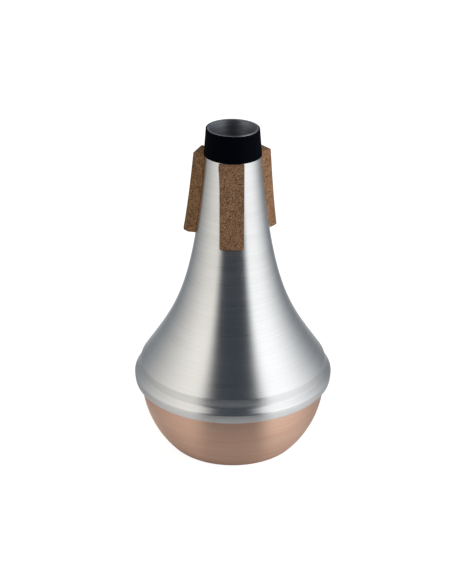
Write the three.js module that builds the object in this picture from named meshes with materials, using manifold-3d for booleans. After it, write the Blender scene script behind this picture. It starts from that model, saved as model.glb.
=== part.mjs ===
import * as THREE from 'three';
import { mergeVertices } from 'three/addons/utils/BufferGeometryUtils.js';
import Module from 'manifold-3d';

// Trumpet straight mute, standing on its flat copper end.
// Millimetres, Z up, origin at the middle of the flat end. The front cork pad faces -Y.
// Every outline is drawn as (radius, height) and spun round the Z axis.

// Spun aluminium body
const tipRadius = 12.3;
const tipHeight = 167.25;
const tipSlope = 4.5;              // degrees that the neck leans out at the tip
const tipReach = 83.8;             // how far the neck's slope pulls the flare
const shoulderRadius = 47;
const shoulderHeight = 45.1;
const shoulderSlope = 34.3;        // degrees that the skirt leans out at the shoulder
const shoulderReach = 34.9;        // how far the skirt's slope pulls the flare
const bodyWall = 0.8;

// Rolled bead round the body's foot
const beadRadius = 50;
const beadHeight = 37.6;
const coveHollow = 0.57;           // how deep the cove under the shoulder dips
const bandHeight = 3.75;           // from the bead's widest ring down to its underside
const bandTaper = 0.45;            // how much the band draws in towards its underside
const bandCrown = 0.11;            // how far the band swells
const beadWidth = 3.05;            // underside of the bead, from the widest ring to the bowl
const hemHeight = 1.9;             // edge of the sheet, turned up inside the bead
const foldInside = 0.2;            // inner radius of every fold in sheet metal
const seamGap = 0.3;               // clearance between the two sheets in the seam

// Spun copper bowl
const bowlWall = 0.7;
const bowlCurve = 49.8;            // radius of the bowl's side, seen from the side
const bowlCorner = 2;              // radius round the flat end
const bowlStraight = 0.15;         // straight wall under the bead, before the side curves in

// Rubber sleeve on the tip
const sleeveLength = 13.35;        // from the metal edge down to the sleeve's foot
const sleeveWall = 0.5;
const sleeveFit = 0.1;             // gap between the sleeve and the neck
const sleeveBelow = 0.2;           // how far the sleeve's top stays below the metal edge
const sleeveRound = 0.25;          // radius on the sleeve's edges

// Cork pads, glued along the neck
const padLength = 41.5;
const padWidth = 11.7;
const padThickness = 4.7;
const padGlue = 0.3;               // glue line between a pad and the neck
const padTopGap = 0.3;             // gap between the sleeve and the pads' top ends
const padTopRound = 0.6;
const padFootRound = 1.6;
const padEdge = 0.35;              // bevel on the pads' long edges
const frontPadAngle = -1.5;        // degrees round the neck from -Y, as the pads were glued on by hand
const leftPadAngle = -109.9;
const rightPadAngle = 127.3;

// Fineness of the faceted surfaces
const turnSteps = 60;
const flareSteps = 15;
const bowlSteps = 9;
const coveSteps = 3;
const foldSteps = 2;
const padSteps = 8;

const materials = {
  aluminium: new THREE.MeshStandardMaterial({ color: 0xc9cacb, roughness: 0.32, metalness: 1 }),
  copper: new THREE.MeshStandardMaterial({ color: 0xc79a82, roughness: 0.38, metalness: 1 }),
  rubber: new THREE.MeshStandardMaterial({ color: 0x0b0c0f, roughness: 0.55, metalness: 0 }),
  cork: new THREE.MeshStandardMaterial({ color: 0x7d6046, roughness: 0.9, metalness: 0 }),
};

const point = (radius, height) => new THREE.Vector2(radius, height);

// Unit vector to the left of the way from one point to the next
function leftOf(from, to) {
  const way = to.clone().sub(from).normalize();
  return point(-way.y, way.x);
}

// Points along an arc, counted in radians round its centre
function arc(centre, radius, start, end, steps) {
  return Array.from({ length: steps + 1 }, (_, i) => {
    const angle = THREE.MathUtils.lerp(start, end, i / steps);
    return point(centre.x + radius * Math.cos(angle), centre.y + radius * Math.sin(angle));
  });
}

// Arc through two points that swells to the right of the way between them
function bulge(from, to, swell, steps) {
  const half = from.distanceTo(to) / 2;
  const side = Math.sign(swell);
  const depth = Math.abs(swell);
  const radius = (half * half + depth * depth) / (2 * depth);
  const centre = from.clone().lerp(to, 0.5).addScaledVector(leftOf(from, to), side * (radius - depth));
  const start = Math.atan2(from.y - centre.y, from.x - centre.x);
  return arc(centre, radius, start, start + side * 2 * Math.asin(half / radius), steps);
}

// Arc of the given radius in place of a corner between two straight runs
function fold(before, corner, after, radius, steps) {
  const back = before.clone().sub(corner).normalize();
  const on = after.clone().sub(corner).normalize();
  const half = Math.acos(THREE.MathUtils.clamp(back.dot(on), -1, 1)) / 2;
  const start = corner.clone().addScaledVector(back, radius / Math.tan(half));
  const end = corner.clone().addScaledVector(on, radius / Math.tan(half));
  const outside = back.cross(on) > 0 ? -1 : 1;
  return bulge(start, end, outside * radius * (1 - Math.sin(half)), steps);
}

// The line's points moved to its left, each along the bisector of its two runs
function offset(line, distance) {
  return line.map((here, i) => {
    const before = i > 0 ? leftOf(line[i - 1], here) : leftOf(here, line[i + 1]);
    const after = i < line.length - 1 ? leftOf(here, line[i + 1]) : before;
    const middle = before.clone().add(after).normalize();
    return here.clone().addScaledVector(middle, distance / middle.dot(before));
  });
}

// Closed outline of a sheet whose outer face follows the line, with its wall to the left
function sheet(line, wall) {
  return [...line, ...offset(line, wall).reverse(), line[0].clone()];
}

// Solid of revolution about Z from an outline of (radius, height) points
function spin(outline) {
  return new THREE.LatheGeometry(outline, turnSteps).rotateX(Math.PI / 2);
}

// Flare of the body's outer face, from the tip down to the shoulder
const tip = point(tipRadius, tipHeight);
const shoulder = point(shoulderRadius, shoulderHeight);

function lean(degrees) {
  const angle = THREE.MathUtils.degToRad(degrees);
  return point(Math.sin(angle), -Math.cos(angle));
}

const flare = new THREE.CubicBezierCurve(
  tip,
  tip.clone().addScaledVector(lean(tipSlope), tipReach),
  shoulder.clone().addScaledVector(lean(shoulderSlope), -shoulderReach),
  shoulder,
);

// Point on the neck at a distance from the tip along the flare, lifted off its outer face
function onNeck(distance, lift) {
  const share = THREE.MathUtils.clamp(distance / flare.getLength(), 0, 1);
  const past = distance - share * flare.getLength();
  const way = flare.getTangentAt(share);
  const out = point(-way.y, way.x);
  return flare.getPointAt(share).addScaledVector(way, past).addScaledVector(out, lift);
}

// Body: neck, flared skirt, cove and rolled bead in one sheet, from the hem up to the tip
function bodyGeometry() {
  const foldRadius = bodyWall + foldInside;
  const underside = beadHeight - bandHeight;
  const hem = point(bowlRadius() + seamGap, underside + hemHeight);
  const innerCorner = point(hem.x, underside);
  const outerCorner = point(beadRadius - bandTaper, underside);
  const widest = point(beadRadius, beadHeight);
  const cove = bulge(widest, shoulder, -coveHollow, coveSteps);
  const band = bulge(outerCorner, widest, bandCrown, coveSteps);
  const skirt = flare.getSpacedPoints(flareSteps).reverse();
  const line = [
    hem,
    ...fold(hem, innerCorner, outerCorner, foldRadius, foldSteps),
    ...fold(innerCorner, outerCorner, band[1], foldRadius, foldSteps),
    ...band.slice(2, -1),
    ...fold(band.at(-2), widest, cove[1], foldRadius, foldSteps),
    ...cove.slice(1, -1),
    ...fold(cove.at(-2), shoulder, skirt[1], foldRadius, foldSteps),
    ...skirt.slice(1),
  ];
  return spin(sheet(line, bodyWall));
}

// Outer radius of the bowl's mouth, where it stands in the bead
function bowlRadius() {
  return beadRadius - beadWidth - seamGap;
}

// Bowl: flat end, corner, curved side and a flange hooked over the body's hem
function bowlGeometry() {
  const mouth = beadHeight - bandHeight - bowlStraight;
  const centre = point(bowlRadius() - bowlCurve, mouth);
  const rise = mouth - bowlCorner;
  const cornerCentre = point(centre.x + Math.sqrt((bowlCurve - bowlCorner) ** 2 - rise ** 2), bowlCorner);
  const turn = Math.asin(rise / (bowlCurve - bowlCorner));
  const corner = arc(cornerCentre, bowlCorner, -Math.PI / 2, -turn, foldSteps + 1);
  const side = arc(centre, bowlCurve, -turn, 0, bowlSteps);
  const flangeHeight = beadHeight - bandHeight + hemHeight + seamGap;
  const flangeFoot = point(bowlRadius(), flangeHeight);
  const flangeEdge = point(beadRadius - bodyWall - 2 * seamGap, flangeHeight);
  const line = [
    point(0, 0),
    ...corner,
    ...side.slice(1),
    ...fold(side.at(-1), flangeFoot, flangeEdge, foldInside, foldSteps),
    flangeEdge,
  ];
  const outline = sheet(line, bowlWall);
  outline.pop();
  return spin(outline);
}

// Sleeve: a thin rubber tube that hugs the neck and ends just short of the metal edge
function sleeveGeometry() {
  const spacing = (sleeveLength - sleeveBelow) / foldSteps;
  const stations = Array.from({ length: foldSteps + 1 }, (_, i) => sleeveBelow + i * spacing);
  const inner = stations.map((distance) => onNeck(distance, sleeveFit));
  const outer = stations.map((distance) => onNeck(distance, sleeveFit + sleeveWall)).reverse();
  const foot = fold(inner.at(-1), outer[0], outer[1], sleeveRound, foldSteps);
  const lip = fold(outer.at(-2), outer.at(-1), inner[0], sleeveRound, foldSteps);
  return spin([...inner, ...foot, ...outer.slice(1, -1), ...lip, inner[0].clone()]);
}

// Closed mesh to a solid that can be cut, and back
const wasm = await Module();
wasm.setup();

function toSolid(geometry) {
  const bare = geometry.clone();
  bare.deleteAttribute('normal');
  bare.deleteAttribute('uv');
  const merged = mergeVertices(bare);
  const index = Array.from(merged.index.array);
  const corners = [];
  for (let i = 0; i < index.length; i += 3) {
    const [a, b, c] = index.slice(i, i + 3);
    if (a !== b && b !== c && c !== a) corners.push(a, b, c);
  }
  const vertProperties = new Float32Array(merged.attributes.position.array);
  return new wasm.Manifold(new wasm.Mesh({ numProp: 3, vertProperties, triVerts: new Uint32Array(corners) }));
}

function toGeometry(solid) {
  const mesh = solid.getMesh();
  const geometry = new THREE.BufferGeometry();
  geometry.setAttribute('position', new THREE.BufferAttribute(mesh.vertProperties, 3));
  geometry.setIndex(new THREE.BufferAttribute(mesh.triVerts, 1));
  geometry.computeVertexNormals();
  return geometry;
}

// Side outline of a pad, bent down the neck, its back run deep enough for the cut
function padOutline() {
  const top = sleeveLength + padTopGap;
  const spacing = padLength / padSteps;
  const stations = Array.from({ length: padSteps + 1 }, (_, i) => top + i * spacing);
  const face = stations.map((distance) => onNeck(distance, padGlue + padThickness));
  const back = stations.map((distance) => onNeck(distance, -padWidth / 2)).reverse();
  const foot = fold(face.at(-2), face.at(-1), back[0], padFootRound, foldSteps);
  const head = fold(back.at(-1), face[0], face[1], padTopRound, foldSteps);
  return new THREE.Shape([...back, ...head, ...face.slice(1, -1), ...foot]);
}

// The neck filled to its axis, with the glue line round it
function padCore() {
  const face = offset(flare.getSpacedPoints(flareSteps).reverse(), -padGlue);
  return spin([point(0, face[0].y), ...face, point(0, face.at(-1).y)]);
}

// Pad: a strip of cork with broken edges, its back cut to the neck's own round
function padGeometry() {
  const depth = padWidth - 2 * padEdge;
  const strip = new THREE.ExtrudeGeometry(padOutline(), {
    depth,
    bevelSegments: 1,
    bevelSize: padEdge,
    bevelOffset: -padEdge,
    bevelThickness: padEdge,
  });
  strip.translate(0, 0, -depth / 2).rotateX(Math.PI / 2).rotateZ(-Math.PI / 2);
  return toGeometry(toSolid(strip).subtract(toSolid(padCore())));
}

const mute = new THREE.Group();

function add(name, geometry, material) {
  const mesh = new THREE.Mesh(geometry, material);
  mesh.name = name;
  mute.add(mesh);
  return mesh;
}

add('body_shell', bodyGeometry(), materials.aluminium);
add('bottom_bowl', bowlGeometry(), materials.copper);
add('tip_sleeve', sleeveGeometry(), materials.rubber);

const pad = padGeometry();
const padAngles = { front: frontPadAngle, left: leftPadAngle, right: rightPadAngle };
for (const [side, degrees] of Object.entries(padAngles)) {
  const mesh = add(`cork_pad_${side}`, pad, materials.cork);
  mesh.rotation.z = THREE.MathUtils.degToRad(degrees);
}

export default mute;
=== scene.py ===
import math
import bmesh
import bpy
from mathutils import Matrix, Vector


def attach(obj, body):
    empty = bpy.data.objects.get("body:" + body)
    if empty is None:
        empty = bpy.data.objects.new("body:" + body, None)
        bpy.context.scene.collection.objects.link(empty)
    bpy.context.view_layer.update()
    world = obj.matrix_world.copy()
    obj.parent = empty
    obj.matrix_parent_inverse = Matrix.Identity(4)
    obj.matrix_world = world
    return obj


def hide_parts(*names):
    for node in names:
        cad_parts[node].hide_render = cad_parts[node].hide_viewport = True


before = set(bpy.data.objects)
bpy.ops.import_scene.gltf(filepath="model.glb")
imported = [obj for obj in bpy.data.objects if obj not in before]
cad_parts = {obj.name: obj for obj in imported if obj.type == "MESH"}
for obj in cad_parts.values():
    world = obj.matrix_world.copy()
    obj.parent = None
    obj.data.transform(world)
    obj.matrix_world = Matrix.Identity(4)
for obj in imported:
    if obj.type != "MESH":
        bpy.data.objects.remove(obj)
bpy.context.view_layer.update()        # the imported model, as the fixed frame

# Trumpet straight mute, standing on its flat copper end. Sizes are millimetres, Z up, the front pad faces -Y.
# Every outline is a line of (radius, height) points. They are the solids' own lines drawn finer, but for the cove
# under the shoulder, which has a flatter wall and a sharper bend at the bead.

mm = 0.001
scene = bpy.context.scene
scene.view_settings.view_transform = "Standard"


# Nodes and meshes

def addNode(tree, kind, inputs=None, **settings):
    made = tree.nodes.new(kind)
    made.location = (220 * (len(tree.nodes) % 12), -260 * (len(tree.nodes) // 12))
    for name, value in settings.items():
        setattr(made, name, value)
    for key, value in (inputs or {}).items():
        if isinstance(value, bpy.types.NodeSocket):
            tree.links.new(value, made.inputs[key])
        else:
            made.inputs[key].default_value = value
    return made


def calc(tree, operation, *values):
    return addNode(tree, "ShaderNodeMath", dict(enumerate(values)), operation=operation).outputs[0]


def wholeCalc(tree, operation, *values):
    return addNode(tree, "FunctionNodeIntegerMath", dict(enumerate(values)), operation=operation).outputs[0]


def remap(tree, value, low, high, outLow=0.0, outHigh=1.0, smooth=False):
    made = addNode(tree, "ShaderNodeMapRange", {0: value, 1: low, 2: high, 3: outLow, 4: outHigh},
                   interpolation_type="SMOOTHSTEP" if smooth else "LINEAR")
    return made.outputs[0]


def between(tree, value, start, full, fade, end, smooth=True):
    # 0 before the start, 1 from full to fade, 0 again past the end
    rise = remap(tree, value, start, full, smooth=smooth)
    return calc(tree, "MULTIPLY", rise, remap(tree, value, fade, end, 1.0, 0.0, smooth))


def mixColor(tree, share, first, second, blend="MIX"):
    made = addNode(tree, "ShaderNodeMix", {0: share, 6: first, 7: second}, data_type="RGBA", blend_type=blend)
    return made.outputs[2]


def split(tree, vector):
    return addNode(tree, "ShaderNodeSeparateXYZ", {0: vector}).outputs


def objectPlace(tree):
    return addNode(tree, "ShaderNodeTexCoord").outputs["Object"]


def degreesRound(tree, way):
    # angle round the mute from its front, more than 0 to the right
    turn = calc(tree, "ARCTAN2", way[0], calc(tree, "MULTIPLY", way[1], -1.0))
    return calc(tree, "MULTIPLY", turn, 180 / math.pi)


def emptyTree(owner):
    owner.use_nodes = True
    owner.node_tree.nodes.clear()
    return owner.node_tree


def geometryTree(name, inputs, output):
    tree = bpy.data.node_groups.new(name, "GeometryNodeTree")
    for label, kind in inputs:
        tree.interface.new_socket(label, in_out="INPUT", socket_type="NodeSocket" + kind)
    tree.interface.new_socket(output, in_out="OUTPUT", socket_type="NodeSocketGeometry")
    return tree, tree.nodes.new("NodeGroupInput").outputs


def attribute(tree, name, kind="FLOAT"):
    return addNode(tree, "GeometryNodeInputNamedAttribute", {"Name": name}, data_type=kind).outputs[0]


def realFaces(tree, geometry, material):
    # the end of both trees
    smooth = addNode(tree, "GeometryNodeSetShadeSmooth", {"Geometry": geometry, "Shade Smooth": True}).outputs[0]
    real = addNode(tree, "GeometryNodeRealizeInstances", {0: smooth}).outputs[0]
    return addNode(tree, "GeometryNodeSetMaterial", {"Geometry": real, "Material": material}).outputs[0]


def newObject(name, mesh):
    made = bpy.data.objects.new(name, mesh)
    scene.collection.objects.link(made)
    return made


def faceOutwards(mesh):
    turned = bmesh.new()
    turned.from_mesh(mesh)
    bmesh.ops.recalc_face_normals(turned, faces=turned.faces)
    turned.to_mesh(mesh)
    turned.free()


def applyTree(source, tree, values, name):
    # runs a node tree on the source and keeps the result as a plain mesh
    modifier = source.modifiers.new("tree", "NODES")
    modifier.node_group = tree
    for item in tree.interface.items_tree:
        if item.item_type == "SOCKET" and item.in_out == "INPUT" and item.name in values:
            modifier[item.identifier] = values[item.name]
    graph = bpy.context.evaluated_depsgraph_get()
    mesh = bpy.data.meshes.new_from_object(
        source.evaluated_get(graph), preserve_all_data_layers=True, depsgraph=graph)
    bpy.data.objects.remove(source)
    mesh.name = name
    faceOutwards(mesh)
    return newObject(name, mesh)


# Outlines

def leftOf(start, end):
    way = (end - start).normalized()
    return Vector((-way.y, way.x))


def lean(degrees):
    return Vector((math.sin(math.radians(degrees)), -math.cos(math.radians(degrees))))


def arc(centre, radius, start, end, steps):
    turns = [start + (end - start) * i / steps for i in range(steps + 1)]
    return [centre + radius * Vector((math.cos(a), math.sin(a))) for a in turns]


def bulge(start, end, swell, steps):
    # arc through two points that swells to the right of the way between them
    half, side, depth = (end - start).length / 2, math.copysign(1, swell), abs(swell)
    radius = (half * half + depth * depth) / (2 * depth)
    centre = start.lerp(end, 0.5) + leftOf(start, end) * side * (radius - depth)
    first = math.atan2(start.y - centre.y, start.x - centre.x)
    return arc(centre, radius, first, first + side * 2 * math.asin(half / radius), steps)


def fold(before, corner, after, radius, steps):
    # arc of the given radius in place of a corner
    back, on = (before - corner).normalized(), (after - corner).normalized()
    half = math.acos(max(-1, min(1, back.dot(on)))) / 2
    start, end = corner + back * radius / math.tan(half), corner + on * radius / math.tan(half)
    outside = -1 if back.x * on.y - back.y * on.x > 0 else 1
    return bulge(start, end, outside * radius * (1 - math.sin(half)), steps)


def offsetLine(line, distance):
    moved = []
    for i, here in enumerate(line):
        before = leftOf(line[i - 1], here) if i else leftOf(here, line[i + 1])
        after = leftOf(here, line[i + 1]) if i < len(line) - 1 else before
        middle = (before + after).normalized()
        moved.append(here + middle * distance / middle.dot(before))
    return moved


# Spinning an outline, as a sheet is spun on a lathe

def spinTree():
    tree, given = geometryTree("spunOutline", (
        ("Outline", "Geometry"), ("Turns", "Int"), ("Points", "Int"), ("Seam turn", "Float"),
        ("Inner from", "Float"), ("Finish", "Material"), ("Inner finish", "Material")), "Spun")
    rings = wholeCalc(tree, "ADD", given["Turns"], 1)
    grid = addNode(tree, "GeometryNodeMeshGrid", {"Vertices X": rings, "Vertices Y": given["Points"]})
    index = addNode(tree, "GeometryNodeInputIndex").outputs[0]
    turn = wholeCalc(tree, "DIVIDE_FLOOR", index, given["Points"])
    row = wholeCalc(tree, "MODULO", index, given["Points"])
    share = calc(tree, "DIVIDE", turn, given["Turns"])
    angle = calc(tree, "MULTIPLY_ADD", share, 2 * math.pi, given["Seam turn"])

    def onOutline(value, kind):
        return addNode(tree, "GeometryNodeSampleIndex", {
            "Geometry": given["Outline"], "Index": row, "Value": value}, data_type=kind).outputs[0]

    place = onOutline(addNode(tree, "GeometryNodeInputPosition").outputs[0], "FLOAT_VECTOR")
    along = onOutline(attribute(tree, "along"), "FLOAT")
    turned = addNode(tree, "ShaderNodeVectorRotate", {"Vector": place, "Angle": angle},
                     rotation_type="Z_AXIS").outputs[0]
    spun = addNode(tree, "GeometryNodeSetPosition", {"Geometry": grid.outputs[0], "Position": turned}).outputs[0]
    pair = addNode(tree, "ShaderNodeCombineXYZ", {0: share, 1: along}).outputs[0]
    atPoint = addNode(tree, "GeometryNodeFieldOnDomain", {0: pair},
                      data_type="FLOAT_VECTOR", domain="POINT").outputs[0]
    mapped = addNode(tree, "GeometryNodeStoreNamedAttribute", {"Geometry": spun, "Name": "UVMap", "Value": atPoint},
                     data_type="FLOAT2", domain="CORNER").outputs[0]
    # the last ring and the first are one
    closed = addNode(tree, "GeometryNodeMergeByDistance", {"Geometry": mapped, "Distance": 1e-7}).outputs[0]
    outer = realFaces(tree, closed, given["Finish"])
    length = split(tree, attribute(tree, "UVMap", "FLOAT_VECTOR"))[1]
    inside = addNode(tree, "FunctionNodeCompare", {0: length, 1: given["Inner from"]},
                     operation="GREATER_THAN").outputs[0]
    both = addNode(tree, "GeometryNodeSetMaterial", {
        "Geometry": outer, "Selection": inside, "Material": given["Inner finish"]}).outputs[0]
    tree.links.new(both, tree.nodes.new("NodeGroupOutput").inputs[0])
    return tree


spunOutline = spinTree()


def spinPiece(name, outline, turns, finish, innerFrom=None, innerFinish=None):
    # outline in millimetres; innerFrom is the outline point where the inner face starts, where there is one
    line = bpy.data.meshes.new(name + "Outline")
    edges = [(i, i + 1) for i in range(len(outline) - 1)]
    line.from_pydata([(p.x * mm, 0, p.y * mm) for p in outline], edges, [])
    along, total = [0.0], 0.0
    for start, end in zip(outline, outline[1:]):
        total += (end - start).length * mm
        along.append(total)
    line.attributes.new("along", "FLOAT", "POINT").data.foreach_set("value", along)
    made = applyTree(newObject(name + "Outline", line), spunOutline, {
        "Turns": turns,
        "Points": len(outline),
        "Seam turn": math.pi / 2,                  # the ends of the turn meet at the back
        "Inner from": along[innerFrom] if innerFrom else total + 1,
        "Finish": finish,
        "Inner finish": innerFinish or finish,
    }, name)
    print(name, len(made.data.polygons), "faces")
    return made


# Finishes

def newMaterial(name, color, roughness, metallic=0.0, **constants):
    material = bpy.data.materials.new(name)
    tree = emptyTree(material)
    shader = addNode(tree, "ShaderNodeBsdfPrincipled", {
        "Base Color": (*color, 1), "Roughness": roughness, "Metallic": metallic, **constants})
    tree.links.new(shader.outputs[0], tree.nodes.new("ShaderNodeOutputMaterial").inputs[0])
    return material, tree, shader


# what all three spun finishes share, in millimetres and shares
turning = {
    "roughness": 0.6,            # of the noise that makes the lines
    "fineShare": 0.55,           # what the finest lines and the soft bands give to the shade
    "broadShare": 0.45,
    "shade": (0.36, 0.64),       # levels of their sum that are darkest and lightest
    "tones": (0.4, 0.6),         # levels of the soft bands that have the one colour and the other
    "bandRun": 60,
    "lathe": 0.16,               # width of the coarser lines in the cove
    "latheRun": 60,
    "rotation": 0.25,            # the shine is drawn out across the lines
}


def streaks(tree, across, around, detail=2.0, shift=0.0):
    # noise drawn out round the axis, as a spinning tool leaves it; across and around in millimetres
    place = split(tree, objectPlace(tree))
    length = split(tree, addNode(tree, "ShaderNodeUVMap", uv_map="UVMap").outputs[0])
    vector = addNode(tree, "ShaderNodeCombineXYZ", {
        0: calc(tree, "DIVIDE", place[0], around * mm),
        1: calc(tree, "DIVIDE", place[1], around * mm),
        2: calc(tree, "MULTIPLY_ADD", length[1], 1 / (across * mm), shift),
    }).outputs[0]
    return addNode(tree, "ShaderNodeTexNoise", {
        "Vector": vector, "Scale": 1.0, "Detail": detail, "Roughness": turning["roughness"]}).outputs[0]


def spunMetal(name, look, depth=None, cove=None):
    material, tree, shader = newMaterial(name, look["color"], look["roughness"], 1.0, **{
        "Anisotropic": look["anisotropic"], "Anisotropic Rotation": turning["rotation"]})
    tangent = addNode(tree, "ShaderNodeTangent", direction_type="UV_MAP", uv_map="UVMap").outputs[0]
    tree.links.new(tangent, shader.inputs["Tangent"])
    fine = streaks(tree, look["fine"], look["run"])
    broad = streaks(tree, look["broad"], turning["bandRun"], detail=3.0, shift=7.3)
    both = calc(tree, "ADD", calc(tree, "MULTIPLY", fine, turning["fineShare"]),
                calc(tree, "MULTIPLY", broad, turning["broadShare"]))
    shade = remap(tree, both, *turning["shade"], 1 - look["contrast"], 1 + look["contrast"])
    color = mixColor(tree, remap(tree, broad, *turning["tones"]), (*look["color"], 1), (*look["other"], 1))
    color = mixColor(tree, 1.0, color, shade, "MULTIPLY")
    roughness = remap(tree, both, *turning["shade"],
                      look["roughness"] - look["play"], look["roughness"] + look["play"])
    # painted shade: the inner face darkens down the bore and at the tip's cut edge
    if depth:
        height = split(tree, objectPlace(tree))[2]
        sunk = remap(tree, height, depth["low"] * mm, depth["high"] * mm, depth["level"], 1.0)
        color = mixColor(tree, 1.0, color, sunk, "MULTIPLY")
        edge = remap(tree, height, depth["edge"] * mm, (depth["edge"] + depth["edgeFade"]) * mm)
        color = mixColor(tree, 1.0, color, remap(tree, edge, 0.0, 1.0, 1.0, depth["edgeLevel"]), "MULTIPLY")
        roughness = calc(tree, "MULTIPLY_ADD", edge, depth["edgeRoughness"] - look["roughness"], roughness)
    tree.links.new(color, shader.inputs["Base Color"])
    tree.links.new(roughness, shader.inputs["Roughness"])
    if cove:
        height = split(tree, objectPlace(tree))[2]
        low, high, soft = cove["low"], cove["high"], cove["soft"]
        inCove = between(tree, height, *(at * mm for at in (low, low + soft, high - soft, high)), smooth=False)
        lathe = streaks(tree, turning["lathe"], turning["latheRun"], detail=0.0, shift=3.1)
        fine = calc(tree, "MULTIPLY_ADD", calc(tree, "MULTIPLY", inCove, lathe), cove["coarse"], fine)
    bump = addNode(tree, "ShaderNodeBump", {
        "Strength": 1.0, "Distance": look["groove"] * mm, "Height": fine}).outputs[0]
    tree.links.new(bump, shader.inputs["Normal"])
    return material


aluminiumLook = {
    "color": (0.90, 0.905, 0.91), "other": (0.90, 0.905, 0.91),
    "roughness": 0.30,
    "anisotropic": 0.95,
    "fine": 0.5, "run": 36,      # width and length of the finest turning lines
    "broad": 4.0,                # width of the soft bands
    "contrast": 0.058,
    "play": 0.03,                # how much the roughness varies
    "groove": 0.0006,
}
coveTurning = {
    "low": 40.7, "high": 44.6,   # heights between which the turning is coarser
    "soft": 0.8,                 # how far it fades in and out
    "coarse": 85.0,              # how much deeper its lines are
}
# the inside of the neck: the same aluminium painted darker and bluer, painted shade of the unlit bore
innerShadedLook = {
    "color": (0.60, 0.625, 0.69), "other": (0.53, 0.55, 0.61),
    "roughness": 0.50,
    "anisotropic": 0.7,
    "fine": 0.7, "run": 11,
    "broad": 4.0,
    "contrast": 0.27,
    "play": 0.03,
    "groove": 0.0006,
}
# painted shade inside the bore, darker towards the bottom and at the cut edge
innerBoreShade = {
    "low": 149, "high": 166.5,   # heights between which painted shade darkens the inner face
    "level": 0.25,               # and how dark
    "edge": 166.9,               # height where its cut edge starts
    "edgeFade": 0.1,
    "edgeLevel": 0.7,            # the edge's share of the colour, a painted shade, and its roughness
    "edgeRoughness": 0.8,
}
copperLook = {
    "color": (0.95, 0.602, 0.457), "other": (0.92, 0.625, 0.477),
    "roughness": 0.36,
    "anisotropic": 0.9,
    "fine": 0.5, "run": 30,
    "broad": 3.0,
    "contrast": 0.075,
    "play": 0.03,
    "groove": 0.0006,
}
aluminium = spunMetal("spunAluminium", aluminiumLook, cove=coveTurning)
shadedAluminiumInner = spunMetal("spunAluminiumInnerShaded", innerShadedLook, depth=innerBoreShade)
copper = spunMetal("spunCopper", copperLook)

rubberLook = {
    "color": (0.0008, 0.0013, 0.0028),
    "roughness": 0.55,
    "specular": 0.02,
    "grain": 1600.0,             # grains to the metre
    "levels": (0.35, 0.7),       # of the grain, and the roughness that they give
    "rough": (0.48, 0.66),
    "bump": 0.6, "relief": 0.02,
}


def rubberMaterial():
    material, tree, shader = newMaterial("blackRubber", rubberLook["color"], rubberLook["roughness"], **{
        "Specular IOR Level": rubberLook["specular"]})
    grain = addNode(tree, "ShaderNodeTexNoise", {
        "Vector": objectPlace(tree), "Scale": rubberLook["grain"], "Detail": 3.0}).outputs[0]
    tree.links.new(remap(tree, grain, *rubberLook["levels"], *rubberLook["rough"]), shader.inputs["Roughness"])
    bump = addNode(tree, "ShaderNodeBump", {
        "Strength": rubberLook["bump"], "Distance": rubberLook["relief"] * mm, "Height": grain}).outputs[0]
    tree.links.new(bump, shader.inputs["Normal"])
    return material


rubber = rubberMaterial()


# The aluminium body

body = {
    "tipRadius": 12.3, "tipHeight": 167.25, "tipSlope": 4.5, "tipReach": 83.8,
    "shoulderRadius": 47, "shoulderHeight": 45.1, "shoulderSlope": 34.3, "shoulderReach": 34.9,
    "wall": 0.8,
    "beadRadius": 50, "beadHeight": 37.6, "beadWidth": 3.05,
    "beadCrest": 38.75,          # where the bead's side meets its top
    "coveRoot": (47.5, 41.3),    # and where its top meets the cove's wall
    "bandHeight": 3.75, "bandTaper": 0.45, "bandCrown": 0.11,
    "hemHeight": 1.9,
    "foldInside": 0.2,           # inner radius of the folds
    "seamGap": 0.3,              # between the two sheets
    "shoulderTrim": 0.5,         # the cove starts this far up the flare
    "beadRound": 1.5,            # radii of those two bends and of the shoulder's edge
    "coveRound": 2.2,
    "shoulderRound": 0.9,
    "lipRound": 0.3,             # radius on the cut edge at the tip
    "turningLines": 3,           # shallow rings that the tool left in the cove
    "lineDepth": 0.02,
    "turns": 224,
    # how many steps each stretch of the outline has
    "hemSteps": 6, "footSteps": 8, "bandSteps": 16, "beadSteps": 14, "wallSteps": 20, "coveSteps": 10,
    "shoulderSteps": 8, "flareSteps": 110, "lipSteps": 4,
}
bowlRadius = body["beadRadius"] - body["beadWidth"] - body["seamGap"]

tip = Vector((body["tipRadius"], body["tipHeight"]))
shoulder = Vector((body["shoulderRadius"], body["shoulderHeight"]))
tipPull = tip + lean(body["tipSlope"]) * body["tipReach"]
shoulderPull = shoulder - lean(body["shoulderSlope"]) * body["shoulderReach"]


def flarePoint(t):
    u = 1 - t
    return u ** 3 * tip + 3 * u * u * t * tipPull + 3 * u * t * t * shoulderPull + t ** 3 * shoulder


measureSteps = 2000
flareFine = [flarePoint(i / measureSteps) for i in range(measureSteps + 1)]
flareLength = [0.0]              # way along the flare from the tip to each of those points
for start, end in zip(flareFine, flareFine[1:]):
    flareLength.append(flareLength[-1] + (end - start).length)


def onNeck(distance, lift):
    # point at a distance from the tip along the flare, lifted off its outer face
    inside = max(0.0, min(distance, flareLength[-1]))
    low, high = 0, measureSteps - 1
    while low < high:
        middle = (low + high + 1) // 2
        low, high = (middle, high) if flareLength[middle] <= inside else (low, middle - 1)
    start, end = flareFine[low], flareFine[low + 1]
    share = (inside - flareLength[low]) / (flareLength[low + 1] - flareLength[low])
    way = (end - start).normalized()
    return start.lerp(end, share) + way * (distance - inside) + Vector((-way.y, way.x)) * lift


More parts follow.
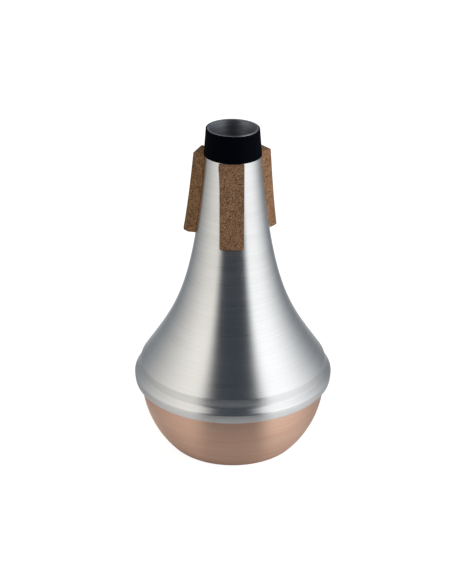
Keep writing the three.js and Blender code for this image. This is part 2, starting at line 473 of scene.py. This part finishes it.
def bodyOutline():
    foldRadius = body["wall"] + body["foldInside"]
    underside = body["beadHeight"] - body["bandHeight"]
    hem = Vector((bowlRadius + body["seamGap"], underside + body["hemHeight"]))
    innerCorner = Vector((hem.x, underside))
    outerCorner = Vector((body["beadRadius"] - body["bandTaper"], underside))
    widest = Vector((body["beadRadius"], body["beadHeight"]))
    rim = onNeck(flareLength[-1] - body["shoulderTrim"], 0)
    crest, root = Vector((body["beadRadius"], body["beadCrest"])), Vector(body["coveRoot"])
    beadEdge = fold(widest, crest, root, body["beadRound"], body["beadSteps"])
    bend = fold(crest, root, rim, body["coveRound"], body["coveSteps"])
    wallSteps = body["wallSteps"]
    cove = [
        *[beadEdge[-1].lerp(bend[0], i / wallSteps) for i in range(1, wallSteps)],
        *bend,
        *[bend[-1].lerp(rim, i / wallSteps) for i in range(1, wallSteps + 1)],
    ]
    last = len(cove) - 1
    for i in range(1, last):                         # shallow rings in the cove
        wave = math.sin(math.pi * i / last * body["turningLines"] * 2) * math.sin(math.pi * i / last)
        cove[i] = cove[i] + leftOf(cove[i - 1], cove[i + 1]) * body["lineDepth"] * wave
    band = bulge(outerCorner, widest, body["bandCrown"], body["bandSteps"])
    flareSteps, reach = body["flareSteps"], flareLength[-1] - body["shoulderTrim"]
    flare = [onNeck(reach * (1 - i / flareSteps), 0) for i in range(flareSteps + 1)]
    footEnd = foldRadius * 0.9                       # the band starts this far above the underside
    nearRim = body["shoulderRound"] * 0.4            # points so near the rim give way to its rounded edge
    line = [
        hem,
        *fold(hem, innerCorner, outerCorner, foldRadius, body["hemSteps"]),
        *fold(innerCorner, outerCorner, band[1], foldRadius, body["footSteps"]),
        *[p for p in band if p.y - underside > footEnd],
        *beadEdge,
        *[p for p in cove if (p - rim).length > nearRim],
        *fold(cove[-2], rim, flare[1], body["shoulderRound"], body["shoulderSteps"]),
        *[p for p in flare if (p - rim).length > nearRim],
    ]
    spaced, apart = [line[0]], 0.03                  # points nearer than this to the one before are left out
    for here in line[1:]:
        if (here - spaced[-1]).length > apart:
            spaced.append(here)
    inner = offsetLine(spaced, body["wall"])[::-1]
    lipRound, lipSteps = body["lipRound"], body["lipSteps"]
    lipOut = fold(spaced[-2], spaced[-1], inner[0], lipRound, lipSteps)
    lipIn = fold(spaced[-1], inner[0], inner[1], lipRound, lipSteps)
    outer = [p for p in spaced if p.y < tip.y - lipRound]
    outline = [*outer, *lipOut, *lipIn, *[p for p in inner if p.y < tip.y - lipRound]]
    return [*outline, outline[0].copy()], len(outer)


bodyLine, bodyInner = bodyOutline()
bodyShell = spinPiece("body_shell_spun", bodyLine, body["turns"], aluminium, bodyInner, shadedAluminiumInner)
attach(bodyShell, "root")
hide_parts("body_shell")


# The copper bowl

bowl = {
    "wall": 0.7,
    "curve": 49.8,               # radius of the side's curve
    "corner": 2,
    "straight": 0.15,            # the curve ends this far under the bead
    "turns": 224,
    "flatSteps": 24, "cornerSteps": 10, "sideSteps": 72, "foldSteps": 4,
}


def bowlOutline():
    mouth = body["beadHeight"] - body["bandHeight"] - bowl["straight"]
    centre = Vector((bowlRadius - bowl["curve"], mouth))
    rise, reach = mouth - bowl["corner"], bowl["curve"] - bowl["corner"]
    cornerCentre = Vector((centre.x + math.sqrt(reach ** 2 - rise ** 2), bowl["corner"]))
    turn = math.asin(rise / reach)
    flat = [Vector((cornerCentre.x * i / bowl["flatSteps"], 0)) for i in range(bowl["flatSteps"])]
    flangeHeight = body["beadHeight"] - body["bandHeight"] + body["hemHeight"] + body["seamGap"]
    flangeFoot = Vector((bowlRadius, flangeHeight))
    flangeEdge = Vector((body["beadRadius"] - body["wall"] - 2 * body["seamGap"], flangeHeight))
    side = arc(centre, bowl["curve"], -turn, 0, bowl["sideSteps"])
    line = [
        *flat,
        *arc(cornerCentre, bowl["corner"], -math.pi / 2, -turn, bowl["cornerSteps"]),
        *side[1:],
        *fold(side[-1], flangeFoot, flangeEdge, body["foldInside"], bowl["foldSteps"]),
        flangeEdge,
    ]
    inner = offsetLine(line, bowl["wall"])[::-1]
    inner[-1].x = 0                                  # both faces close on the axis
    return [*line, *inner]


bottomBowl = spinPiece("bottom_bowl_spun", bowlOutline(), bowl["turns"], copper)
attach(bottomBowl, "root")
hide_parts("bottom_bowl")


# The rubber sleeve

sleeve = {
    "length": 13.35, "wall": 0.5,
    "fit": 0.1,                  # gap to the tip
    "below": 0.2,                # its mouth lies this far under the tip's
    "round": 0.25, "innerRound": 0.12,           # radii at the mouth, outside and inside
    "footRound": 0.175, "innerFootRound": 0.1,   # and at the foot
    "left": 0.2, "behind": 0.12,                 # pushed on by hand: this much higher on the left and behind
    "cap": 0.02,                 # but always this far under the tip's height
    "turns": 192,
    "steps": 24, "roundSteps": 6, "innerSteps": 4,
}


def sleeveOutline():
    steps, wide, small = sleeve["steps"], sleeve["roundSteps"], sleeve["innerSteps"]
    stations = [sleeve["below"] + (sleeve["length"] - sleeve["below"]) * i / steps for i in range(steps + 1)]
    inner = [onNeck(distance, sleeve["fit"]) for distance in stations]
    outer = [onNeck(distance, sleeve["fit"] + sleeve["wall"]) for distance in stations][::-1]
    return [
        *inner[1:-1],
        *fold(inner[-2], inner[-1], outer[0], sleeve["innerFootRound"], small),
        *fold(inner[-1], outer[0], outer[1], sleeve["footRound"], wide),
        *outer[1:-1],
        *fold(outer[-2], outer[-1], inner[0], sleeve["round"], wide),
        *fold(outer[-1], inner[0], inner[1], sleeve["innerRound"], small),
        inner[1].copy(),
    ]


tipSleeve = spinPiece("tip_sleeve_moulded", sleeveOutline(), sleeve["turns"], rubber)
for corner in tipSleeve.data.vertices:
    out = math.hypot(corner.co.x, corner.co.y)
    raised = (sleeve["behind"] * corner.co.y - sleeve["left"] * corner.co.x) / out
    corner.co.z = min(corner.co.z + raised * mm, (body["tipHeight"] - sleeve["cap"]) * mm)
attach(tipSleeve, "root")
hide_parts("tip_sleeve")


# The cork pads

pad = {
    "length": 41.5, "width": 11.7, "thickness": 4.7,
    "glue": 0.3,                 # the face stands this much further out than the pad's thickness
    "backGap": 0.05,
    "topRound": 0.6,
    "edge": 0.35,                # how far the long edges are broken
    "wideReach": 12,             # how far down a pad a wider head reaches
    "spacing": 0.2,              # size of the mesh's faces
    "spare": 0.6,                # added to the thickness when they are counted
    "ahead": 0.5,                # the neck's slope is taken over this length
}
# cut and glued by hand: degrees round the neck, gap under the sleeve, extra thickness at head and foot,
# how much further the outer face reaches at head and foot, extra width at the head's left, radii of the foot's lip
# and of the corners at head and foot, a tint that is partly the cork's own tone and partly painted shade for the
# light on its side, and the seed of its grain
padCuts = {
    "front": {"angle": -1.5, "gap": 0.25, "head": 0.0, "foot": 0.0, "rise": 0.0, "slant": 0.0, "wide": 0.55,
              "lip": 1.2, "headCorner": 0.5, "footCorner": 1.7, "tint": (0.70, 0.635, 0.605), "seed": 3.0},
    "left": {"angle": -109.9, "gap": 0.0, "head": -0.25, "foot": 0.75, "rise": 0.45, "slant": 1.5, "wide": 0.0,
             "lip": 2.9, "headCorner": 1.3, "footCorner": 1.0, "tint": (1.03, 0.90, 0.76), "seed": 14.0},
    "right": {"angle": 127.3, "gap": 0.15, "head": 0.35, "foot": -0.3, "rise": 0.1, "slant": 0.0, "wide": 0.0,
              "lip": 0.9, "headCorner": 0.6, "footCorner": 0.8, "tint": (0.92, 0.83, 0.80), "seed": 25.0},
}
cork = {
    "granule": 0.43,             # sizes of the granules, of the fine dark specks and of the pits' spacing
    "speck": 0.28,
    "pit": 1.5,
    "crowd": 3.5,                # size of the areas with more or fewer specks
    "grain": 0.17,
    "wobble": 1.6, "bend": 0.5,  # how often and how far the granules' outlines bend
    "pitLevels": (0.35, 1.0),    # random levels at which a pit opens and is widest
    "pitWidth": 0.24, "pitEdge": 0.06,
    "relief": 0.05,              # how far granules stand proud
    "lumps": (0.2, 1.3),         # levels of granule and grain that stand out and lie back
    "grainLumps": 0.8,           # the grain's share of that
    "pitDepth": 0.22,
    "roughness": 0.85, "specular": 0.25,
    "low": (0.262, 0.159, 0.090),                # the granules' colours run from low to high, and a few are rust
    "high": (0.421, 0.271, 0.161),
    "rust": (0.270, 0.135, 0.065),
    "rustLevels": (0.86, 0.95), "rustShare": 0.7,            # random levels at which rust starts and is full
    "dim": (0.57, 0.50, 0.42), "lit": (1.43, 1.50, 1.58),    # what the grain makes of a colour
    "grainLevels": (0.3, 0.7),
    "dark": (0.028, 0.011, 0.004),               # specks and pits, and how strongly each takes that colour
    "speckShare": 0.95, "pitShare": 0.85,
    "crowding": 0.6,             # what a crowded area adds to a speck's random level
    "speckLevels": (0.84, 0.87), # levels at which a speck shows and is full
    "speckEdge": (0.5, 0.7),     # and shares of its size between which it ends
}


def corkPattern(tree, position, seed):
    # granules, grain and pits, the same for the relief and for the colour; position in metres
    scaled = addNode(tree, "ShaderNodeVectorMath", {0: position, 3: 1 / mm}, operation="SCALE").outputs[0]
    wobble = addNode(tree, "ShaderNodeTexNoise", {
        "Vector": scaled, "W": seed, "Scale": cork["wobble"], "Detail": 1.0},
        noise_dimensions="4D").outputs["Color"]
    bent = addNode(tree, "ShaderNodeVectorMath", {0: wobble, 1: [cork["bend"]] * 3, 2: scaled},
                   operation="MULTIPLY_ADD").outputs[0]
    granule = addNode(tree, "ShaderNodeTexVoronoi", {
        "Vector": bent, "W": seed, "Scale": 1 / cork["granule"]}, voronoi_dimensions="4D")
    pits = addNode(tree, "ShaderNodeTexVoronoi", {
        "Vector": bent, "W": calc(tree, "ADD", seed, 5.0), "Scale": 1 / cork["pit"]}, voronoi_dimensions="4D")
    grain = addNode(tree, "ShaderNodeTexNoise", {
        "Vector": scaled, "W": seed, "Scale": 1 / cork["grain"], "Detail": 2.0}, noise_dimensions="4D").outputs[0]
    width = remap(tree, split(tree, pits.outputs["Color"])[0], *cork["pitLevels"], 0.0, cork["pitWidth"])
    outside = calc(tree, "SUBTRACT", pits.outputs["Distance"], width)
    return granule, grain, remap(tree, outside, 0.0, cork["pitEdge"], 1.0, 0.0, True)


def corkMaterial(name, seed, toneAndSideShade):
    material, tree, shader = newMaterial(name, cork["low"], cork["roughness"], **{
        "Specular IOR Level": cork["specular"]})
    place = objectPlace(tree)
    level = addNode(tree, "ShaderNodeValue")
    level.outputs[0].default_value = seed
    granule, grain, pit = corkPattern(tree, place, level.outputs[0])
    tint = split(tree, granule.outputs["Color"])
    color = mixColor(tree, tint[0], (*cork["low"], 1), (*cork["high"], 1))
    rusty = remap(tree, tint[1], *cork["rustLevels"], 0.0, cork["rustShare"])
    color = mixColor(tree, rusty, color, (*cork["rust"], 1))
    shade = mixColor(tree, remap(tree, grain, *cork["grainLevels"]), (*cork["dim"], 1), (*cork["lit"], 1))
    color = mixColor(tree, 1.0, color, shade, "MULTIPLY")
    specks = addNode(tree, "ShaderNodeTexVoronoi", {"Vector": place, "Scale": 1 / (cork["speck"] * mm)})
    chance = split(tree, specks.outputs["Color"])[0]
    crowd = addNode(tree, "ShaderNodeTexNoise", {
        "Vector": place, "Scale": 1 / (cork["crowd"] * mm), "Detail": 2.0}).outputs[0]
    crowded = calc(tree, "ADD", chance, calc(tree, "MULTIPLY", crowd, cork["crowding"]))
    speck = calc(tree, "MULTIPLY", remap(tree, crowded, *cork["speckLevels"]),
                 remap(tree, specks.outputs["Distance"], *cork["speckEdge"], 1.0, 0.0))
    for spot, share in ((speck, cork["speckShare"]), (pit, cork["pitShare"])):
        color = mixColor(tree, calc(tree, "MULTIPLY", spot, share), color, (*cork["dark"], 1))
    # painted shade: each pad's tint lightens or darkens it for the light on its side, besides the cork's own tone
    color = mixColor(tree, 1.0, color, (*toneAndSideShade, 1), "MULTIPLY")
    tree.links.new(color, shader.inputs["Base Color"])
    return material


def reliefTree():
    tree, given = geometryTree("corkRelief", (
        ("Pad", "Geometry"), ("Seed", "Float"), ("Relief", "Float"), ("Pit depth", "Float"),
        ("Finish", "Material")), "Rough pad")
    position = addNode(tree, "GeometryNodeInputPosition").outputs[0]
    granule, grain, pit = corkPattern(tree, position, given["Seed"])
    lump = calc(tree, "ADD", granule.outputs["Distance"], calc(tree, "MULTIPLY", grain, cork["grainLumps"]))
    raised = calc(tree, "MULTIPLY", remap(tree, lump, *cork["lumps"], 0.0, -1.0), given["Relief"])
    sunk = calc(tree, "MULTIPLY", pit, given["Pit depth"])
    depth = calc(tree, "MULTIPLY", calc(tree, "SUBTRACT", raised, sunk), attribute(tree, "free"))
    push = addNode(tree, "ShaderNodeVectorMath", {
        0: addNode(tree, "GeometryNodeInputNormal").outputs[0], 3: depth}, operation="SCALE").outputs[0]
    moved = addNode(tree, "GeometryNodeSetPosition", {"Geometry": given["Pad"], "Offset": push}).outputs[0]
    done = realFaces(tree, moved, given["Finish"])
    tree.links.new(done, tree.nodes.new("NodeGroupOutput").inputs[0])
    return tree


corkRelief = reliefTree()


def roundCorner(x, y):
    # square corner zone to a quarter disc; x and y run from 0 inside to 1 at the faces
    if x <= 0 or y <= 0:
        return x, y
    keep = max(x, y) / math.hypot(x, y)
    return x * keep, y * keep


def padPoint(cut, w, s, h):
    # w across from -1 to 1, s down the neck and h out from it from 0 to 1
    length, half = pad["length"], pad["width"] / 2
    thickness = pad["thickness"] + cut["head"] + (cut["foot"] - cut["head"]) * s
    s, h, across = s * length, h * thickness, abs(w) * half
    # corners, seen from outside
    for radius, atHead in ((cut["headCorner"], True), (cut["footCorner"], False)):
        x, y = 1 - (half - across) / radius, 1 - (s if atHead else length - s) / radius
        if x > 0 and y > 0:
            x, y = roundCorner(x, y)
            across, fromEnd = half - (1 - x) * radius, (1 - y) * radius
            s = fromEnd if atHead else length - fromEnd
    # lips, seen from the side
    for radius, atHead in ((pad["topRound"], True), (cut["lip"], False)):
        x, y = 1 - (s if atHead else length - s) / radius, 1 - (thickness - h) / radius
        if x > 0 and y > 0:
            x, y = roundCorner(x, y)
            h, fromEnd = thickness - (1 - y) * radius, (1 - x) * radius
            s = fromEnd if atHead else length - fromEnd
    # long edges, broken towards the middle of the pad's side outline
    edge = pad["edge"]
    x = 1 - (half - across) / edge
    if x > 0:
        gaps = {(1, 0): s, (-1, 0): length - s, (0, -1): thickness - h, (0, 1): h}
        way, gap = min(gaps.items(), key=lambda item: item[1])
        y = 1 - gap / edge
        if y > 0:
            newX, newY = roundCorner(x, y)
            across = half - (1 - newX) * edge
            s, h = s + way[0] * (y - newY) * edge, h + way[1] * (y - newY) * edge
    if w < 0:
        across += cut["wide"] * max(0.0, 1 - s / pad["wideReach"]) ** 2 * across / half
    w = math.copysign(across, w)
    s += h / thickness * (cut["slant"] * s / length - cut["rise"] * (1 - s / length))
    distance = sleeve["length"] + cut["gap"] + s
    radius = onNeck(distance, pad["backGap"]).x
    tilt = (onNeck(distance, 0) - onNeck(distance + pad["ahead"], 0)).normalized().y
    back = pad["backGap"] - tilt * (radius - math.sqrt(radius ** 2 - w ** 2))
    lift = back + h / thickness * (pad["glue"] + thickness - back)
    place = onNeck(distance, lift)
    return Vector((w, -place.x, place.y))


def padBase(cut):
    # six gridded faces of a block, joined, then bent to the neck
    sizes = (pad["width"], pad["length"], pad["thickness"] + pad["spare"])
    nw, ns, nh = (round(size / pad["spacing"]) for size in sizes)
    points, index, faces = [], {}, []

    def at(i, j, k):
        if (i, j, k) not in index:
            index[i, j, k] = len(points)
            points.append(padPoint(cut, 2 * i / nw - 1, j / ns, k / nh))
        return index[i, j, k]

    def patch(count1, count2, corner):
        for a in range(count1):
            for b in range(count2):
                around = ((a, b), (a + 1, b), (a + 1, b + 1), (a, b + 1))
                faces.append([at(*corner(*pair)) for pair in around])

    for i in (0, nw):
        patch(ns, nh, lambda a, b: (i, a, b))
    for j in (0, ns):
        patch(nw, nh, lambda a, b: (a, j, b))
    for k in (0, nh):
        patch(nw, ns, lambda a, b: (a, b, k))
    turn = math.radians(cut["angle"])
    cos, sin = math.cos(turn), math.sin(turn)
    placed = [((p.x * cos - p.y * sin) * mm, (p.x * sin + p.y * cos) * mm, p.z * mm) for p in points]
    mesh = bpy.data.meshes.new("padBase")
    mesh.from_pydata(placed, [], faces)
    free = [0.0 if k == 0 else 1.0 for (i, j, k) in index]       # the glued back stays smooth
    mesh.attributes.new("free", "FLOAT", "POINT").data.foreach_set("value", free)
    faceOutwards(mesh)
    return mesh


for side, cut in padCuts.items():
    name = "cork_pad_" + side
    finish = corkMaterial("compositionCork_" + side, cut["seed"], cut["tint"])
    piece = applyTree(newObject(name + "Base", padBase(cut)), corkRelief, {
        "Seed": cut["seed"],
        "Relief": cork["relief"] * mm,
        "Pit depth": cork["pitDepth"] * mm,
        "Finish": finish,
    }, name + "_grained")
    print(piece.name, len(piece.data.polygons), "faces")
    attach(piece, "root")
    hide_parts(name)


# Studio: two tall soft boxes painted in the world, a dark gap behind the camera, white for the camera

studio = {
    "gap": (0.035, 0.042, 0.052),                # dark room behind the camera
    "back": (0.204, 0.221, 0.237),               # dim room behind the mute
    "room": (30, 120),           # degrees round the mute between which the room goes from gap to back
    "sweep": (148, 176, 0.6),    # and between which the white sweep right behind it rises, and its level
    "top": 54, "ceiling": 81,    # degrees above the floor between which the soft boxes end
    "low": -30, "high": 40,      # and between which they go from dim to bright
    "left": {"start": 26, "full": 47, "fade": 58, "end": 155, "color": (1.02, 0.985, 0.92), "dim": 0.60},
    "right": {"start": 27, "full": 48, "fade": 66, "end": 148, "color": (1.24, 1.25, 1.25), "dim": 0.74},
    "overhead": (0.085, 0.1, 0.119),             # the ceiling
}


def paintWorld():
    world = bpy.data.worlds.new("studio")
    scene.world = world
    tree = emptyTree(world)
    way = split(tree, addNode(tree, "ShaderNodeTexCoord").outputs["Generated"])
    degrees = degreesRound(tree, way)
    around = calc(tree, "ABSOLUTE", degrees)
    height = calc(tree, "MULTIPLY", calc(tree, "ARCSINE", way[2]), 180 / math.pi)
    room = remap(tree, around, *studio["room"], smooth=True)
    color = mixColor(tree, room, (*studio["gap"], 1), (*studio["back"], 1))
    start, full, level = studio["sweep"]
    color = mixColor(tree, remap(tree, around, start, full, smooth=True), color, (level, level, level, 1))
    for side, sign in (("left", -1.0), ("right", 1.0)):
        box = studio[side]
        angle = calc(tree, "MULTIPLY", degrees, sign)
        inBox = between(tree, angle, box["start"], box["full"], box["fade"], box["end"])
        bright = remap(tree, height, studio["low"], studio["high"], box["dim"], 1.0, True)
        shine = mixColor(tree, 1.0, (*box["color"], 1), bright, "MULTIPLY")
        color = mixColor(tree, inBox, color, shine)
    lit = remap(tree, height, studio["top"], studio["ceiling"], 1.0, 0.0, True)
    color = mixColor(tree, lit, (*studio["overhead"], 1), color)
    light = addNode(tree, "ShaderNodeBackground", {0: color})
    white = addNode(tree, "ShaderNodeBackground", {0: (1, 1, 1, 1)})
    seen = addNode(tree, "ShaderNodeLightPath").outputs["Is Camera Ray"]
    mixed = addNode(tree, "ShaderNodeMixShader", {0: seen, 1: light.outputs[0], 2: white.outputs[0]})
    tree.links.new(mixed.outputs[0], tree.nodes.new("ShaderNodeOutputWorld").inputs[0])


paintWorld()
print("studio painted")


# Floor: white to the camera, and a small white table in the metal that is painted light: the floor glows only for
# rays from the metal

floorSet = {
    "size": 12.0,                # metres
    "albedo": 0.34,
    "glow": 0.86,                # what the camera sees of the floor, lit or not
    "under": 0.07,               # painted light of the white table in the metal, all round
    # and more of it beside the mute and behind it: how much, and the degrees round the mute where it starts,
    # is full, fades and ends
    "left": {"beside": 0.18, "from": (18, 42, 46, 100), "behind": 0.45, "behindFrom": (52, 120)},
    "right": {"beside": 0.33, "from": (18, 42, 46, 112), "behind": 0.40, "behindFrom": (85, 150)},
    # metres from the axis between which each changes, and the level that it changes from or to
    "foot": (0.029, 0.044, 0.05),                # the mute's own shade, a painted shadow in that light
    "patch": (0.03, 0.085, 0.25),                # the light beside rises
    "fall": (0.09, 0.15, 0.3),                   # and falls again
    "close": (0.05, 0.10),                       # the light behind ends
    "near": 0.07, "far": 0.21,                   # the table ends
}


def makeFloor():
    half = floorSet["size"] / 2
    mesh = bpy.data.meshes.new("floor")
    mesh.from_pydata([(-half, -half, 0), (half, -half, 0), (half, half, 0), (-half, half, 0)], [], [(0, 1, 2, 3)])
    floor = newObject("floor", mesh)
    material = bpy.data.materials.new("whiteFloor")
    tree = emptyTree(material)
    place = objectPlace(tree)
    reach = addNode(tree, "ShaderNodeVectorMath", {0: place}, operation="LENGTH").outputs["Value"]
    degrees = degreesRound(tree, split(tree, place))
    table = remap(tree, reach, floorSet["near"], floorSet["far"], 1.0, 0.0, True)
    patch, fall = floorSet["patch"], floorSet["fall"]
    away = calc(tree, "MULTIPLY", remap(tree, reach, *patch, 1.0, True),
                remap(tree, reach, fall[0], fall[1], 1.0, fall[2], True))
    close = remap(tree, reach, *floorSet["close"], 1.0, 0.0, True)
    extra = floorSet["under"]
    for side, sign in (("left", -1.0), ("right", 1.0)):
        light = floorSet[side]
        angle = calc(tree, "MULTIPLY", degrees, sign)
        beside = calc(tree, "MULTIPLY", between(tree, angle, *light["from"]), away)
        behind = calc(tree, "MULTIPLY", remap(tree, angle, *light["behindFrom"], smooth=True), close)
        extra = calc(tree, "MULTIPLY_ADD", beside, light["beside"], extra)
        extra = calc(tree, "MULTIPLY_ADD", behind, light["behind"], extra)
    shade = floorSet["foot"]
    # painted shadow: the glow dims near the mute's foot
    extra = calc(tree, "MULTIPLY", extra, remap(tree, reach, *shade, 1.0, True))
    path = addNode(tree, "ShaderNodeLightPath").outputs
    inMetal = calc(tree, "MAXIMUM", path["Is Glossy Ray"], path["Is Transmission Ray"])
    # painted reflection: the floor glows only for rays from the metal
    paintedReflection = calc(tree, "MULTIPLY", inMetal, extra)
    shown = calc(tree, "MULTIPLY_ADD", path["Is Camera Ray"], floorSet["glow"], paintedReflection)
    plain = addNode(tree, "ShaderNodeBsdfDiffuse", {0: (*[floorSet["albedo"]] * 3, 1)})
    glow = addNode(tree, "ShaderNodeEmission", {0: (1, 1, 1, 1), 1: shown})
    both = addNode(tree, "ShaderNodeAddShader", {0: plain.outputs[0], 1: glow.outputs[0]})
    gone = calc(tree, "MULTIPLY", inMetal, calc(tree, "SUBTRACT", 1.0, table))
    clear = addNode(tree, "ShaderNodeBsdfTransparent")
    mixed = addNode(tree, "ShaderNodeMixShader", {0: gone, 1: both.outputs[0], 2: clear.outputs[0]})
    tree.links.new(mixed.outputs[0], tree.nodes.new("ShaderNodeOutputMaterial").inputs[0])
    mesh.materials.append(material)


makeFloor()
print("floor made")


# Lamps for what isn't metal, in metres and watts

lamps = {
    "fill": {"place": (-0.2, -1.6, 1.3), "size": 1.4, "power": 10.0},
    "key": {"place": (1.5, -0.75, 1.0), "size": 1.0, "power": 25.0},
}
aim = Vector((0, 0, 0.1))        # about halfway up the flare
for name, values in lamps.items():
    data = bpy.data.lights.new(name, "AREA")
    data.size = values["size"]
    data.energy = values["power"]
    lamp = newObject(name, data)
    lamp.location = values["place"]
    lamp.rotation_euler = (aim - lamp.location).to_track_quat("-Z", "Y").to_euler()
    lamp.visible_glossy = False
print(len(lamps), "lamps")


# Camera, as the photograph's

view = {
    "place": (0.0, -0.65006, 0.39543),           # metres
    "tilt": 64.17,               # degrees up from straight down
    "lens": 89.16,               # millimetres
    "shift": -0.01182,
}
cameraData = bpy.data.cameras.new("camera")
cameraData.lens = view["lens"]
cameraData.shift_x = view["shift"]
camera = newObject("camera", cameraData)
camera.location = view["place"]
camera.rotation_euler = (math.radians(view["tilt"]), 0, 0)
scene.camera = camera
print("camera placed")
